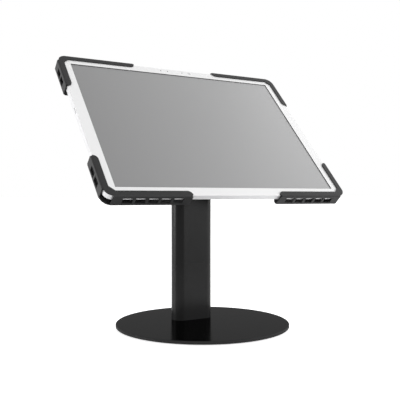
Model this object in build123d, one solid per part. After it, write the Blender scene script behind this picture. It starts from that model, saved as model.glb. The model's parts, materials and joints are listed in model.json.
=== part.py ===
from build123d import *
import math
import os

# A desk stand that holds a tablet by its four corners. A round steel base carries an
# extruded column. A knuckle on top of the column lets the head tilt, a bolt on the head's
# axis lets it turn, and four folded corner brackets slide out along their arms.
# Millimetres and degrees. X is to the right, Y is away from the user, Z is up, and the
# origin is on the desk under the middle of the base.

# Base
base_diameter = 204.6
base_thickness = 3.6
base_edge = 0.5
pad_diameter = 186.0
pad_thickness = 1.0
pad_access_r = 6.0

# Column
column_width = 52.0
column_depth = 23.0
column_wall = 2.5
column_y = 27.0
column_height = 188.4
port_x = 15.2
port_y = 5.2
port_boss_r = 4.2

# Countersunk screws at both ends of the column
screw_r = 2.5
screw_hole_r = 2.75
screw_head_r = 4.8
screw_head_height = 2.4
screw_socket_flats = 3.0
screw_socket_depth = 1.6
base_screw_length = 16.0
post_screw_length = 14.0

# Cable grommets in the column's back wall
grommet_groove_r = 6.1
grommet_flange_r = 8.0
grommet_bore_r = 4.2
grommet_lip = 1.4
lower_grommet_height = 22.0
upper_grommet_height = 160.0

# Hinge post and tilt pivot
pivot_height = 204.1
tilt_at_rest = 47.1
knuckle_r = 9.0
knuckle_half_width = 10.0
cap_thickness = 3.0
cap_edge = 0.8
neck_root = 1.6
spigot_width = 20.0
spigot_thickness = 17.6
spigot_depth = 8.0
tilt_bolt_r = 4.0
running_gap = 0.05
friction_washer_thickness = 1.0
cheek_thickness = 3.0
cheek_r = 10.5
cheek_root_inside = 0.8
cheek_root_outside = 2.5
tilt_bolt_head_r = 7.0
tilt_bolt_head_height = 4.4
cone_thickness = 0.7
cone_height = 1.1
tilt_cone_r = 8.0
tilt_nut_across_flats = 13.0
tilt_nut_height = 8.0
thread_proud = 1.5

# Head, from the screen's front glass back to the pivot
screen_to_pivot = 39.3
back_plate_thickness = 2.5
plate_to_bracket_gap = 0.1
swivel_bolt_r = 5.0
swivel_head_r = 12.0
swivel_head_height = 3.4
swivel_washer_thickness = 1.0
front_washer_r = 21.0
rear_washer_r = 10.0
swivel_cone_r = 9.5
swivel_nut_across_flats = 16.0
swivel_nut_height = 5.0
tilt_disc_r = 32.0
tilt_disc_thickness = 3.0
stop_pin_r = 2.0
stop_pin_circle_r = 25.0
stop_slot_clearance = 0.2
plate_hub_r = 36.0
plate_crotch_r = 8.0
plate_arm_width = 24.0
plate_arm_reach = 134.0
clamp_slot_start = 87.0
clamp_slot_end = 129.0
clamp_slot_width = 4.5

# Tablet
tablet_width = 305.5
tablet_height = 220.6
tablet_thickness = 6.9
tablet_corner = 9.0
bezel_thickness = 0.9
bezel_edge = 0.4
screen_width = 279.1
screen_height = 198.5
screen_corner = 0.8
shell_wall = 1.5
shell_back = 0.9
shell_back_edge = 0.8
display_thickness = 2.1
display_margin = 3.0
cell_width = 110.0
cell_height = 150.0
cell_thickness = 2.6
cell_x = 81.0
cell_corner = 3.0
board_width = 44.0
board_height = 176.0
board_thickness = 1.0
shield_width = 34.0
shield_height = 30.0
shield_thickness = 1.2
shield_pitch = 42.0

# Corner brackets, folded from sheet
sheet = 1.2
fold_outside_r = 1.8
fold_inside_r = 0.6
bracket_half_width = 154.8
bracket_half_height = 112.8
lip_width = 7.4
lip_clearance = 0.25
bracket_back = 13.3
corner_inset = 1.3
corner_r = 10.0
long_arm_end = 56.5
short_arm_end = 56.0
lip_chamfer = 6.0
lip_end_r = 5.5
window_x = 145.3
window_y = 102.9
flange_width = 10.0
flange_end_r = 6.0
fold_notch = 1.2
slot_length = 11.2
slot_pitch = 14.2
long_slot_front = 2.4
long_slot_back = 9.7
long_slot_count = 5
long_slot_centre = 100.4
short_slot_front = 2.8
short_slot_back = 9.8
short_slot_count = 2
short_slot_centre = 79.5
tongue_width = 22.0
tongue_start = 78.0
tongue_root_r = 10.0
clamp_screw_at = (90.0, 114.0)
clamp_screw_r = 2.0
clamp_head_r = 5.0
clamp_head_height = 2.4
clinch_nut_r = 3.5
clinch_nut_height = 2.0
corner_pad_length = 20.0
corner_pad_width = 16.0
corner_pad_corner = 5.0
corner_pad_at = 164.0
soft_gap = 0.3

# Keys and cameras
key_height = 2.2
key_proud = 0.5
key_depth = 2.2
key_flange = 0.6
key_edge = 0.25
key_clearance = 0.12
key_behind_front = 3.4
power_key_at = 17.6
power_key_length = 9.0
volume_key_length = 11.0
volume_up_key_at = -34.0
volume_down_key_at = -20.0
front_camera_at = (21.0, 105.6)
front_camera_r = 2.0
sensors_at = (-20.0, -10.5, 10.4)
sensor_r = 0.9
eye_depth = 0.5
rear_camera_at = (112.0, 92.0)
rear_camera_ring_r = 7.0
rear_camera_lens_r = 5.0
rear_camera_proud = 0.9
rear_camera_recess = 0.2
rear_camera_depth = 1.5

# Worked out from the above
base_top = pad_thickness + base_thickness
column_top = base_top + column_height
cap_top = column_top + cap_thickness
pivot_z = base_top + pivot_height
wall_middle_y = column_y + (column_depth - column_wall) / 2
cheek_inside = knuckle_half_width + running_gap + friction_washer_thickness
cheek_outside = cheek_inside + cheek_thickness
tilt_nut_seat = cheek_outside + cone_height + cone_thickness
tilt_bolt_end = tilt_nut_seat + tilt_nut_height + thread_proud
flange_front = sheet - bracket_back
plate_front = -(bracket_back + plate_to_bracket_gap)
plate_rear = plate_front - back_plate_thickness
disc_front = plate_rear - swivel_washer_thickness - running_gap
disc_rear = disc_front - tilt_disc_thickness
rear_washer_front = disc_rear - running_gap
rear_washer_rear = rear_washer_front - swivel_washer_thickness
swivel_nut_front = rear_washer_rear - cone_height
swivel_nut_rear = swivel_nut_front - swivel_nut_height
clamp_head_seat = plate_rear - running_gap
clinch_nut_front = flange_front + clinch_nut_height
shell_floor = shell_back - tablet_thickness
diagonal_angle = math.degrees(math.atan2(bracket_half_height, bracket_half_width))

# The head's own frame has its origin at the middle of the screen's glass, X to the right,
# Y up the screen and Z out of the glass towards the user.
tilt = math.radians(tilt_at_rest)
head_place = Location(
    (
        0,
        column_y - screen_to_pivot * math.sin(tilt),
        pivot_z + screen_to_pivot * math.cos(tilt),
    ),
    (tilt_at_rest, 0, 0),
)
pivot_place = Pos(0, 0, -screen_to_pivot) * Rot(0, 90, 0)


def slab(outline, low, high):
    """Extrudes an outline drawn on XY from height low to height high."""
    return Pos(0, 0, low) * extrude(outline, amount=high - low)


def rod(radius, low, high):
    """A round bar along Z."""
    return slab(Circle(radius), low, high)


def ring(outer, inner, low, high):
    """A flat ring about Z."""
    return slab(Circle(outer) - Circle(inner), low, high)


def turned(*points):
    """Turns a half section, given as radius and height, about Z."""
    section = Polyline(*[(radius, 0, height) for radius, height in points], close=True)
    return revolve(make_face(section), Axis.Z)


def hexagon(across_flats, low, high):
    """A six-sided bar along Z."""
    return slab(RegularPolygon(across_flats / 2, 6, major_radius=False), low, high)


def group(pieces):
    """Like pieces that share one node."""
    return Compound([solid for piece in pieces for solid in piece.solids()])


def crowned_screw(shank_r, head_r, head_height, length):
    """A screw with a crowned head seated at height 0 and its shank pointing down Z."""
    body = turned(
        (0, -length),
        (shank_r, -length),
        (shank_r, 0),
        (head_r, 0),
        (head_r, head_height * 0.4),
        (head_r * 0.75, head_height),
        (0, head_height),
    )
    return body - hexagon(shank_r * 1.25, head_height * 0.45, head_height)


def countersunk_cone():
    """The cone of a flat screw head, with its face at height 0, narrowing up Z."""
    return turned(
        (0, 0), (screw_head_r, 0), (screw_r, screw_head_height), (0, screw_head_height)
    )


def countersunk_screw(length):
    """A screw that points up Z, with the face of its flat head at height 0."""
    body = turned(
        (0, 0),
        (screw_head_r, 0),
        (screw_r, screw_head_height),
        (screw_r, length),
        (0, length),
    )
    return body - hexagon(screw_socket_flats, 0, screw_socket_depth)


def hex_nut(across_flats, height, bore_r):
    """A nut standing on height 0, its corners bevelled at both faces."""
    corner_r = across_flats / math.sqrt(3)
    bevel = (corner_r - across_flats / 2) * math.tan(math.radians(30))
    envelope = turned(
        (0, 0),
        (across_flats / 2, 0),
        (corner_r, bevel),
        (corner_r, height - bevel),
        (across_flats / 2, height),
        (0, height),
    )
    return hexagon(across_flats, 0, height) & envelope - rod(bore_r, 0, height)


def disc_spring(bore_r, outer_r):
    """A coned washer resting on its outer rim at height 0."""
    return turned(
        (outer_r, 0),
        (outer_r, cone_thickness),
        (bore_r, cone_height),
        (bore_r, cone_height - cone_thickness),
    )


def port_places():
    """The four screw ports of the column, seen from above."""
    return [Pos(x, column_y + y) for x in (-port_x, port_x) for y in (-port_y, port_y)]


def grommet_place(height):
    """The middle of the column's back wall, with Z along the hole."""
    return Pos(0, wall_middle_y, base_top + height) * Rot(90, 0, 0)


def base_plate():
    plate = rod(base_diameter / 2, pad_thickness, base_top)
    plate = chamfer(plate.edges().filter_by(GeomType.CIRCLE), base_edge)
    hole = countersunk_cone() + rod(screw_hole_r, 0, base_thickness)
    return plate - [place * Pos(0, 0, pad_thickness) * hole for place in port_places()]


def base_pad():
    outline = Circle(pad_diameter / 2)
    access = SlotCenterToCenter(2 * port_y, 2 * pad_access_r, rotation=90)
    outline -= [Pos(x, column_y) * access for x in (-port_x, port_x)]
    return slab(outline, 0, pad_thickness)


def base_screws():
    screw = Pos(0, 0, pad_thickness) * countersunk_screw(base_screw_length)
    return group([place * screw for place in port_places()])


def column():
    inside = SlotOverall(column_width - 2 * column_wall, column_depth - 2 * column_wall)
    section = Pos(0, column_y) * (SlotOverall(column_width, column_depth) - inside)
    section += [place * Circle(port_boss_r) for place in port_places()]
    section -= [place * Circle(screw_r) for place in port_places()]
    body = slab(section, base_top, column_top)
    for height in (lower_grommet_height, upper_grommet_height):
        body -= grommet_place(height) * rod(grommet_groove_r, -column_wall, column_wall)
    return body


def grommet(height):
    half = column_wall / 2
    body = turned(
        (grommet_bore_r, -half - grommet_lip),
        (grommet_flange_r, -half - grommet_lip),
        (grommet_flange_r, -half),
        (grommet_groove_r, -half),
        (grommet_groove_r, half),
        (grommet_flange_r, half),
        (grommet_flange_r, half + grommet_lip),
        (grommet_bore_r, half + grommet_lip),
    )
    return grommet_place(height) * body


def hinge_post():
    cap = slab(SlotOverall(column_width, column_depth), column_top, cap_top)
    cap = chamfer(cap.edges().group_by(Axis.Z)[-1], cap_edge)
    spigot = slab(
        Rectangle(spigot_width, spigot_thickness), column_top - spigot_depth, column_top
    )
    neck = slab(Rectangle(2 * knuckle_half_width, 2 * knuckle_r), cap_top, pivot_z)
    post = cap + neck
    roots = post.edges().filter_by(Axis.X).group_by(Axis.Z)
    roots = [edge for edges in roots for edge in edges if is_neck_root(edge)]
    post = Pos(0, column_y) * (fillet(roots, neck_root) + spigot)
    axis = Pos(0, column_y, pivot_z) * Rot(0, 90, 0)
    post += axis * rod(knuckle_r, -knuckle_half_width, knuckle_half_width)
    post -= axis * rod(tilt_bolt_r + running_gap, -knuckle_half_width, knuckle_half_width)
    hole = Pos(0, 0, cap_top) * Rot(180, 0, 0)
    hole *= countersunk_cone() + rod(screw_hole_r, 0, cap_thickness)
    return post - [place * hole for place in port_places()]


def is_neck_root(edge):
    """True for the two edges where the neck's front and back meet the cap."""
    middle = edge.center()
    on_cap = abs(middle.Z - cap_top) < 0.01
    return on_cap and abs(abs(middle.Y) - knuckle_r) < 0.01


def post_screws():
    screw = Pos(0, 0, cap_top) * Rot(180, 0, 0) * countersunk_screw(post_screw_length)
    return group([place * screw for place in port_places()])


def tilt_bracket():
    slot_path = CenterArc((0, 0), stop_pin_circle_r, 0, 180)
    slot = SlotArc(slot_path, 2 * (stop_pin_r + stop_slot_clearance))
    disc = slab(
        Circle(tilt_disc_r) - Circle(swivel_bolt_r + running_gap) - slot,
        disc_rear,
        disc_front,
    )
    reach = disc_rear + screen_to_pivot
    side = Circle(cheek_r) + Pos(-reach / 2, 0) * Rectangle(reach, 2 * cheek_r)
    side -= Circle(tilt_bolt_r)
    body = disc + pivot_place * slab(side, cheek_inside, cheek_outside)
    body += pivot_place * slab(side, -cheek_outside, -cheek_inside)
    for distance, radius in (
        (cheek_inside, cheek_root_inside),
        (cheek_outside, cheek_root_outside),
    ):
        for x in (-distance, distance):
            straight = body.edges().filter_by(Axis.Y)
            body = fillet(straight.sort_by_distance((x, 0, disc_rear))[0], radius)
    return body


def tilt_bolt():
    length = cheek_outside + tilt_bolt_end
    bolt = crowned_screw(tilt_bolt_r, tilt_bolt_head_r, tilt_bolt_head_height, length)
    return pivot_place * Pos(0, 0, cheek_outside) * bolt


def friction_washers():
    inside = knuckle_half_width + running_gap
    washer = ring(knuckle_r, tilt_bolt_r, inside, cheek_inside)
    return group([pivot_place * washer, pivot_place * Rot(180, 0, 0) * washer])


def disc_springs():
    spring = Rot(180, 0, 0) * disc_spring(tilt_bolt_r, tilt_cone_r)
    seats = (cheek_outside, cheek_outside + cone_thickness)
    return group([pivot_place * Pos(0, 0, -seat) * spring for seat in seats])


def tilt_nut():
    nut = hex_nut(tilt_nut_across_flats, tilt_nut_height, tilt_bolt_r)
    return pivot_place * Pos(0, 0, -tilt_nut_seat - tilt_nut_height) * nut


def back_plate():
    arms = [
        Rot(0, 0, angle) * SlotOverall(2 * plate_arm_reach, plate_arm_width)
        for angle in (-diagonal_angle, diagonal_angle)
    ]
    outline = Circle(plate_hub_r) + arms
    crotches = [v for v in outline.vertices() if Vector(v).length < plate_hub_r + 0.1]
    outline = fillet(crotches, plate_crotch_r)
    slot_middle = (clamp_slot_start + clamp_slot_end) / 2
    slot = SlotOverall(clamp_slot_end - clamp_slot_start, clamp_slot_width)
    for angle in (diagonal_angle, -diagonal_angle):
        for side in (-slot_middle, slot_middle):
            outline -= Rot(0, 0, angle) * Pos(side, 0) * slot
    outline -= Circle(swivel_bolt_r)
    outline -= Pos(0, stop_pin_circle_r) * Circle(stop_pin_r)
    return slab(outline, plate_rear, plate_front)


def swivel_bolt():
    length = plate_front - swivel_nut_rear + thread_proud
    bolt = crowned_screw(swivel_bolt_r, swivel_head_r, swivel_head_height, length)
    return Pos(0, 0, plate_front) * bolt


def swivel_front_washer():
    return ring(front_washer_r, swivel_bolt_r, plate_rear - swivel_washer_thickness, plate_rear)


def swivel_rear_washer():
    return ring(rear_washer_r, swivel_bolt_r, rear_washer_rear, rear_washer_front)


def swivel_spring():
    spring = disc_spring(swivel_bolt_r, swivel_cone_r)
    return Pos(0, 0, rear_washer_rear) * Rot(180, 0, 0) * spring


def swivel_nut():
    nut = hex_nut(swivel_nut_across_flats, swivel_nut_height, swivel_bolt_r)
    return Pos(0, 0, swivel_nut_rear) * nut


def stop_pin():
    return Pos(0, stop_pin_circle_r) * rod(stop_pin_r, disc_rear, plate_front)


def key_seat(side, along):
    """A plane on the tablet's left or top side, with Z pointing out of the tablet."""
    if side == "left":
        return Plane((-tablet_width / 2, along, -key_behind_front), x_dir=(0, 1, 0), z_dir=(-1, 0, 0))
    return Plane((along, tablet_height / 2, -key_behind_front), x_dir=(1, 0, 0), z_dir=(0, 1, 0))


def key_seats():
    """Each key's seat and length, by the key's name."""
    return {
        "power_key": (key_seat("left", power_key_at), power_key_length),
        "volume_up_key": (key_seat("top", volume_up_key_at), volume_key_length),
        "volume_down_key": (key_seat("top", volume_down_key_at), volume_key_length),
    }


def key(name):
    seat, length = key_seats()[name]
    flange_top = -shell_wall - running_gap
    cap = slab(SlotOverall(length, key_height), flange_top, key_proud)
    cap = chamfer(cap.edges().group_by(Axis.Z)[-1], key_edge)
    flange = SlotOverall(length + 2 * key_flange, key_height + 2 * key_flange)
    return seat * (cap + slab(flange, -key_depth, flange_top))


def tablet_shell():
    outside = RectangleRounded(tablet_width, tablet_height, tablet_corner)
    inside = RectangleRounded(
        tablet_width - 2 * shell_wall,
        tablet_height - 2 * shell_wall,
        tablet_corner - shell_wall,
    )
    shell = slab(outside, -tablet_thickness, -bezel_thickness)
    shell = fillet(shell.edges().group_by(Axis.Z)[0], shell_back_edge)
    shell -= slab(inside, shell_floor, -bezel_thickness)
    for seat, length in key_seats().values():
        hole = SlotOverall(length + 2 * key_clearance, key_height + 2 * key_clearance)
        shell -= seat * slab(hole, -shell_wall, 0)
    return shell - Pos(*rear_camera_at) * rod(rear_camera_lens_r, -tablet_thickness, shell_floor)


def eyes():
    """The front camera and the sensors beside it, as places and radii."""
    x, y = front_camera_at
    return [(x, y, front_camera_r)] + [(at, y, sensor_r) for at in sensors_at]


def tablet_bezel():
    outline = RectangleRounded(tablet_width, tablet_height, tablet_corner)
    bezel = slab(outline, -bezel_thickness, 0)
    bezel = chamfer(bezel.edges().group_by(Axis.Z)[-1], bezel_edge)
    bezel -= slab(
        RectangleRounded(screen_width, screen_height, screen_corner), -bezel_thickness, 0
    )
    return bezel - [Pos(x, y) * rod(radius, -eye_depth, 0) for x, y, radius in eyes()]


def front_camera():
    return group([Pos(x, y) * rod(radius, -eye_depth, 0) for x, y, radius in eyes()])


def display_panel():
    outline = RectangleRounded(
        screen_width + 2 * display_margin, screen_height + 2 * display_margin, display_margin
    )
    return slab(outline, -bezel_thickness - display_thickness, -bezel_thickness)


def tablet_battery():
    outline = RectangleRounded(cell_width, cell_height, cell_corner)
    cell = slab(outline, shell_floor, shell_floor + cell_thickness)
    return group([Pos(x, 0) * cell for x in (-cell_x, cell_x)])


def tablet_board():
    top = shell_floor + board_thickness
    board = slab(Rectangle(board_width, board_height), shell_floor, top)
    shield = slab(Rectangle(shield_width, shield_height), top, top + shield_thickness)
    return board + [Pos(0, shield_pitch * step) * shield for step in (-1, 0, 1)]


def rear_camera_ring():
    outer = ring(
        rear_camera_ring_r,
        rear_camera_lens_r,
        -tablet_thickness - rear_camera_proud,
        -tablet_thickness,
    )
    return Pos(*rear_camera_at) * outer


def rear_camera_lens():
    rear = rear_camera_recess - tablet_thickness - rear_camera_proud
    return Pos(*rear_camera_at) * rod(rear_camera_lens_r, rear, shell_floor + rear_camera_depth)


def folded_section():
    """The C of lip, wall and flange, drawn with X out of the wall and Y out of the screen."""
    front = lip_clearance + sheet
    low_corner = (Align.MAX, Align.MIN)
    section = Pos(0, -bracket_back) * Rectangle(
        flange_width, bracket_back + front, align=low_corner
    )
    section -= Pos(-sheet, flange_front) * Rectangle(
        flange_width, lip_clearance - flange_front, align=low_corner
    )
    section -= Pos(-lip_width, lip_clearance) * Rectangle(flange_width, sheet, align=low_corner)
    outside = section.vertices().group_by(Axis.X)[-1]
    section = fillet(outside, fold_outside_r)
    inside = [v for v in section.vertices() if abs(v.X + sheet) < 0.01 and flange_front - 0.01 < v.Y]
    inside = [v for v in inside if v.Y < lip_clearance + 0.01]
    return fillet(inside, fold_inside_r)


def folded_arms():
    """The two straight arms of a corner bracket, each a run of the folded section."""
    long_seat = Plane(
        (long_arm_end, bracket_half_height, 0), x_dir=(0, 1, 0), z_dir=(1, 0, 0)
    )
    short_seat = Plane(
        (bracket_half_width, window_y, 0), x_dir=(1, 0, 0), z_dir=(0, -1, 0)
    )
    long_arm = long_seat * extrude(folded_section(), window_x - long_arm_end)
    return long_arm + short_seat * extrude(folded_section(), window_y - short_arm_end)


def flat_corners():
    """The flat corners of the flange and the lip, with the window between them."""
    outline = RectangleRounded(
        2 * (bracket_half_width - corner_inset), 2 * (bracket_half_height - corner_inset), corner_r
    )
    outline &= Pos(window_x, window_y) * Rectangle(
        bracket_half_width, bracket_half_height, align=(Align.MIN, Align.MIN)
    )
    lip_x = bracket_half_width - lip_width
    lip_y = bracket_half_height - lip_width
    web = Polyline(
        (lip_x - lip_chamfer, lip_y), (lip_x, lip_y), (lip_x, lip_y - lip_chamfer), close=True
    )
    lip = slab(outline + make_face(web), lip_clearance, lip_clearance + sheet)
    return [slab(outline, -bracket_back, flange_front), lip]


def wall_slots():
    """The rows of slots through the two walls of one corner bracket."""
    slots = []
    long_depth = long_slot_back - long_slot_front
    long_slot = Box(slot_length, long_depth, 4 * sheet)
    long_middle = -(long_slot_front + long_slot_back) / 2
    for step in range(long_slot_count):
        along = long_slot_centre + (step - (long_slot_count - 1) / 2) * slot_pitch
        slots.append(Pos(along, bracket_half_height, long_middle) * Rot(90, 0, 0) * long_slot)
    short_depth = short_slot_back - short_slot_front
    short_slot = Box(short_depth, slot_length, 4 * sheet)
    short_middle = -(short_slot_front + short_slot_back) / 2
    for step in range(short_slot_count):
        along = short_slot_centre + (step - (short_slot_count - 1) / 2) * slot_pitch
        slots.append(Pos(bracket_half_width, along, short_middle) * Rot(0, 90, 0) * short_slot)
    return slots


def tongue():
    """The strap that runs from a corner's flange in towards the middle of the plate, with
    a clinch nut pressed into it for each clamp screw."""
    outline = Pos(tongue_start, 0) * SlotOverall(
        bracket_half_width, tongue_width, align=(Align.MIN, Align.CENTER)
    )
    outline = Rot(0, 0, diagonal_angle) * outline & RectangleRounded(
        2 * (bracket_half_width - fold_outside_r), 2 * (bracket_half_height - fold_outside_r), corner_r
    )
    strap = slab(outline, -bracket_back, flange_front)
    for at in clamp_screw_at:
        place = Rot(0, 0, diagonal_angle) * Pos(at, 0)
        strap += place * rod(clinch_nut_r, flange_front, clinch_nut_front)
        strap -= place * rod(clamp_screw_r, -bracket_back, clinch_nut_front)
    return strap


def fold_notches():
    """The small reliefs at the four ends of the folds, where the lip and the flange start."""
    notch = Box(fold_notch, 2 * fold_outside_r, 2 * fold_outside_r)
    notches = []
    for height in (lip_clearance + sheet, -bracket_back):
        notches.append(Pos(long_arm_end + fold_notch / 2, bracket_half_height, height) * notch)
        short_end = Pos(bracket_half_width, short_arm_end + fold_notch / 2, height)
        notches.append(short_end * Rot(0, 0, 90) * notch)
    return notches


def round_upright_edge(body, x, y, z, radius):
    """Rounds the edge along Z that is nearest to a point."""
    return fillet(body.edges().filter_by(Axis.Z).sort_by_distance((x, y, z))[0], radius)


def corner_bracket():
    """The top right bracket; the other three are its mirror images."""
    body = folded_arms() + flat_corners() - wall_slots() + tongue()
    lip_x = bracket_half_width - lip_width
    lip_y = bracket_half_height - lip_width
    flange_x = bracket_half_width - flange_width
    flange_y = bracket_half_height - flange_width
    lip_z = lip_clearance + sheet / 2
    flange_z = flange_front - sheet / 2
    body = round_upright_edge(body, long_arm_end, lip_y, lip_z, lip_end_r)
    body = round_upright_edge(body, lip_x, short_arm_end, lip_z, lip_end_r)
    body = round_upright_edge(body, long_arm_end, flange_y, flange_z, flange_end_r)
    body = round_upright_edge(body, flange_x, short_arm_end, flange_z, flange_end_r)
    # The tongue's sides meet the flange where its long edges cross the flange's inner edges.
    half = tongue_width / 2
    along = math.radians(diagonal_angle)
    upper_x = (flange_y - half * math.cos(along)) / math.tan(along) - half * math.sin(along)
    lower_y = (flange_x - half * math.sin(along)) * math.tan(along) - half * math.cos(along)
    body = round_upright_edge(body, upper_x, flange_y, flange_z, tongue_root_r)
    body = round_upright_edge(body, flange_x, lower_y, flange_z, tongue_root_r)
    return body - fold_notches()


def corner_pad():
    outline = RectangleRounded(corner_pad_length, corner_pad_width, corner_pad_corner)
    pad = slab(outline, flange_front, -tablet_thickness - soft_gap)
    return Rot(0, 0, diagonal_angle) * Pos(corner_pad_at, 0) * pad


def clamp_screws():
    """The two screws that clamp a corner, with their wide heads behind the plate."""
    length = clinch_nut_front - clamp_head_seat
    screw = Rot(180, 0, 0) * crowned_screw(clamp_screw_r, clamp_head_r, clamp_head_height, length)
    turn = Rot(0, 0, diagonal_angle)
    return group([turn * Pos(at, 0, clamp_head_seat) * screw for at in clamp_screw_at])


def four_corners(name, piece):
    """Mirrors a top right piece to all four corners of the head."""
    left = mirror(piece, about=Plane.YZ)
    return {
        f"{name}_top_right": piece,
        f"{name}_top_left": left,
        f"{name}_bottom_right": mirror(piece, about=Plane.XZ),
        f"{name}_bottom_left": mirror(left, about=Plane.XZ),
    }


stand_pieces = {
    "base_plate": base_plate(),
    "base_pad": base_pad(),
    "base_screws": base_screws(),
    "column": column(),
    "lower_cable_grommet": grommet(lower_grommet_height),
    "upper_cable_grommet": grommet(upper_grommet_height),
    "hinge_post": hinge_post(),
    "post_screws": post_screws(),
}

head_pieces = {
    "tilt_bracket": tilt_bracket(),
    "tilt_bolt": tilt_bolt(),
    "friction_washers": friction_washers(),
    "disc_springs": disc_springs(),
    "tilt_nut": tilt_nut(),
    "back_plate": back_plate(),
    "swivel_bolt": swivel_bolt(),
    "swivel_front_washer": swivel_front_washer(),
    "swivel_rear_washer": swivel_rear_washer(),
    "swivel_spring": swivel_spring(),
    "swivel_nut": swivel_nut(),
    "stop_pin": stop_pin(),
    "tablet_shell": tablet_shell(),
    "tablet_bezel": tablet_bezel(),
    "display_panel": display_panel(),
    "tablet_battery": tablet_battery(),
    "tablet_board": tablet_board(),
    "front_camera": front_camera(),
    "rear_camera_ring": rear_camera_ring(),
    "rear_camera_lens": rear_camera_lens(),
}
head_pieces |= {name: key(name) for name in key_seats()}
head_pieces |= four_corners("corner_bracket", corner_bracket())
head_pieces |= four_corners("corner_pad", corner_pad())
head_pieces |= four_corners("clamp_screws", clamp_screws())

pieces = stand_pieces | {name: head_place * piece for name, piece in head_pieces.items()}

os.makedirs("parts", exist_ok=True)
for name, piece in pieces.items():
    export_step(piece, f"parts/{name}.step")
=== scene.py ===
"""Looks for a tablet desk stand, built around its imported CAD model: foam pads, threaded
bolts, camera glass and a finish for every piece, in a plain studio."""

import json
import math

import bpy
import numpy as np
from bpy.props import FloatProperty, FloatVectorProperty, IntProperty, PointerProperty
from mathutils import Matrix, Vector


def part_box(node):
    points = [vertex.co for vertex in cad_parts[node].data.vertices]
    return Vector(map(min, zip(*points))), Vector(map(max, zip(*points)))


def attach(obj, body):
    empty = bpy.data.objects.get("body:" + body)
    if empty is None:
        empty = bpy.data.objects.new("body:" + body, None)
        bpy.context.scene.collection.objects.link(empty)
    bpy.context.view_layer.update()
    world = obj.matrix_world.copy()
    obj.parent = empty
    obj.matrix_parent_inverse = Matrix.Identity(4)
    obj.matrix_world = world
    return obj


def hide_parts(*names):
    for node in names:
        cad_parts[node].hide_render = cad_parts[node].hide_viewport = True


bl_info = {
    "name": "Tablet desk stand",
    "version": (1, 0, 0),
    "blender": (4, 5, 0),
    "location": "3D View > Sidebar > Tablet stand",
    "description": "Foam pads, threaded bolts, camera glass and finishes for a tablet desk stand",
    "category": "Object",
}

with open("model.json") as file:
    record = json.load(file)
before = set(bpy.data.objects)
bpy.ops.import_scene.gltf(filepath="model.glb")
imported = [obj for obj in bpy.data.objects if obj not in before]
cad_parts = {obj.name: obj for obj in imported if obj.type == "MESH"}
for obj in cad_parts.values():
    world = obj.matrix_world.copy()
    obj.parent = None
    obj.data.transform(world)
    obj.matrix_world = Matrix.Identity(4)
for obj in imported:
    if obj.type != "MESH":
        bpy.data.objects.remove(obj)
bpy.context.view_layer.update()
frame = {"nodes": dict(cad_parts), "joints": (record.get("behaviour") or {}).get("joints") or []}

CORNERS = ("top_left", "top_right", "bottom_left", "bottom_right")
MM = 0.001
MICRON = 0.000001
FULL_TURN = 2 * math.pi

# Sizes of the CAD model that new pieces and patterns follow, in millimetres
SCREEN_TO_PIVOT = 39.3
BRACKET_HALF_WIDTH = 154.8
BRACKET_HALF_HEIGHT = 112.8
TABLET_WIDTH = 305.5
TABLET_HEIGHT = 220.6
OPENING_WIDTH = 279.1
OPENING_HEIGHT = 198.5
FRONT_CAMERA = (21.0, 105.6)
REAR_CAMERA = (112.0, 92.0)
BASE_RADIUS = 102.3

# The bolts, pads and foot foam, in millimetres. The swivel bolt's seat and the pads' place
# are in the head's frame.
TILT_BOLT = {"shank_r": 4.0, "head_r": 7.0, "head_height": 4.4}
SWIVEL_BOLT = {"shank_r": 5.0, "head_r": 12.0, "head_height": 3.4, "shank_length": 15.2}
SWIVEL_SEAT = -13.4
PAD_HALF_SIZES = (10.0, 8.0, 2.45)
PAD_PLACE = (164.0, 0.0, -9.65)
PAD_CELL = 1.1
FOOT_CELL = 0.6
FOOT_RADII = (0.0, 30.0, 60.0, 85.0)
FOOT_STEPS = 144
SLOT_X = 15.2
SLOT_Y = 27.0
SLOT_RADIUS = 6.0
SLOT_STRETCH = 5.2
SLOT_STEPS = 48

# Proportions of a socket bolt: the socket's width over the shank's radius, its floor and
# the crown's start and foot over the head's size, and the thread over the shank's length
SOCKET_WIDTH = 1.25
SOCKET_FLOOR = 0.45
CROWN_START = 0.72
CROWN_FOOT = 0.35
THREAD_SHARE = 0.6

# Its details: the first three in millimetres, then shares of the socket, of the thread's
# depth and of its last ring, and counts of rings
LONGEST_THREAD = 14.0
BROKEN_EDGE = 0.12
FLOOR_FILLET = 0.03
SOCKET_FOOT = 0.98
THREAD_CUT = 0.9
END_TAPER = 0.5
END_FACE = 0.9
CROWN_RINGS = 9
RINGS_PER_PITCH = 10

# The rear lens from its middle outwards: radius, and height over the screen, in millimetres
DOME_RADIUS = 2.2
DOME_FOOT = -7.25
DOME_HEIGHT = 0.3
LENS_BAFFLE = [(2.5, -7.2), (2.6, -7.35), (3.6, -7.4), (3.7, -7.55), (4.9, -7.6), (5.0, -7.5)]
LENS_BACK = [(5.0, -4.5), (2.5, -4.5), (0.0, -4.5)]
LENS_STEPS = 72
QUARTER_POINTS = 7

# Blender's noise stays near its middle, so patterns are spread over these parts of it
NARROW = (0.35, 0.65)
WIDE = (0.3, 0.7)

# The tablet's aluminium, which its shell and keys share
ALUMINIUM = {"Metallic": 0.22, "Specular IOR Level": 0.4}

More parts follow.
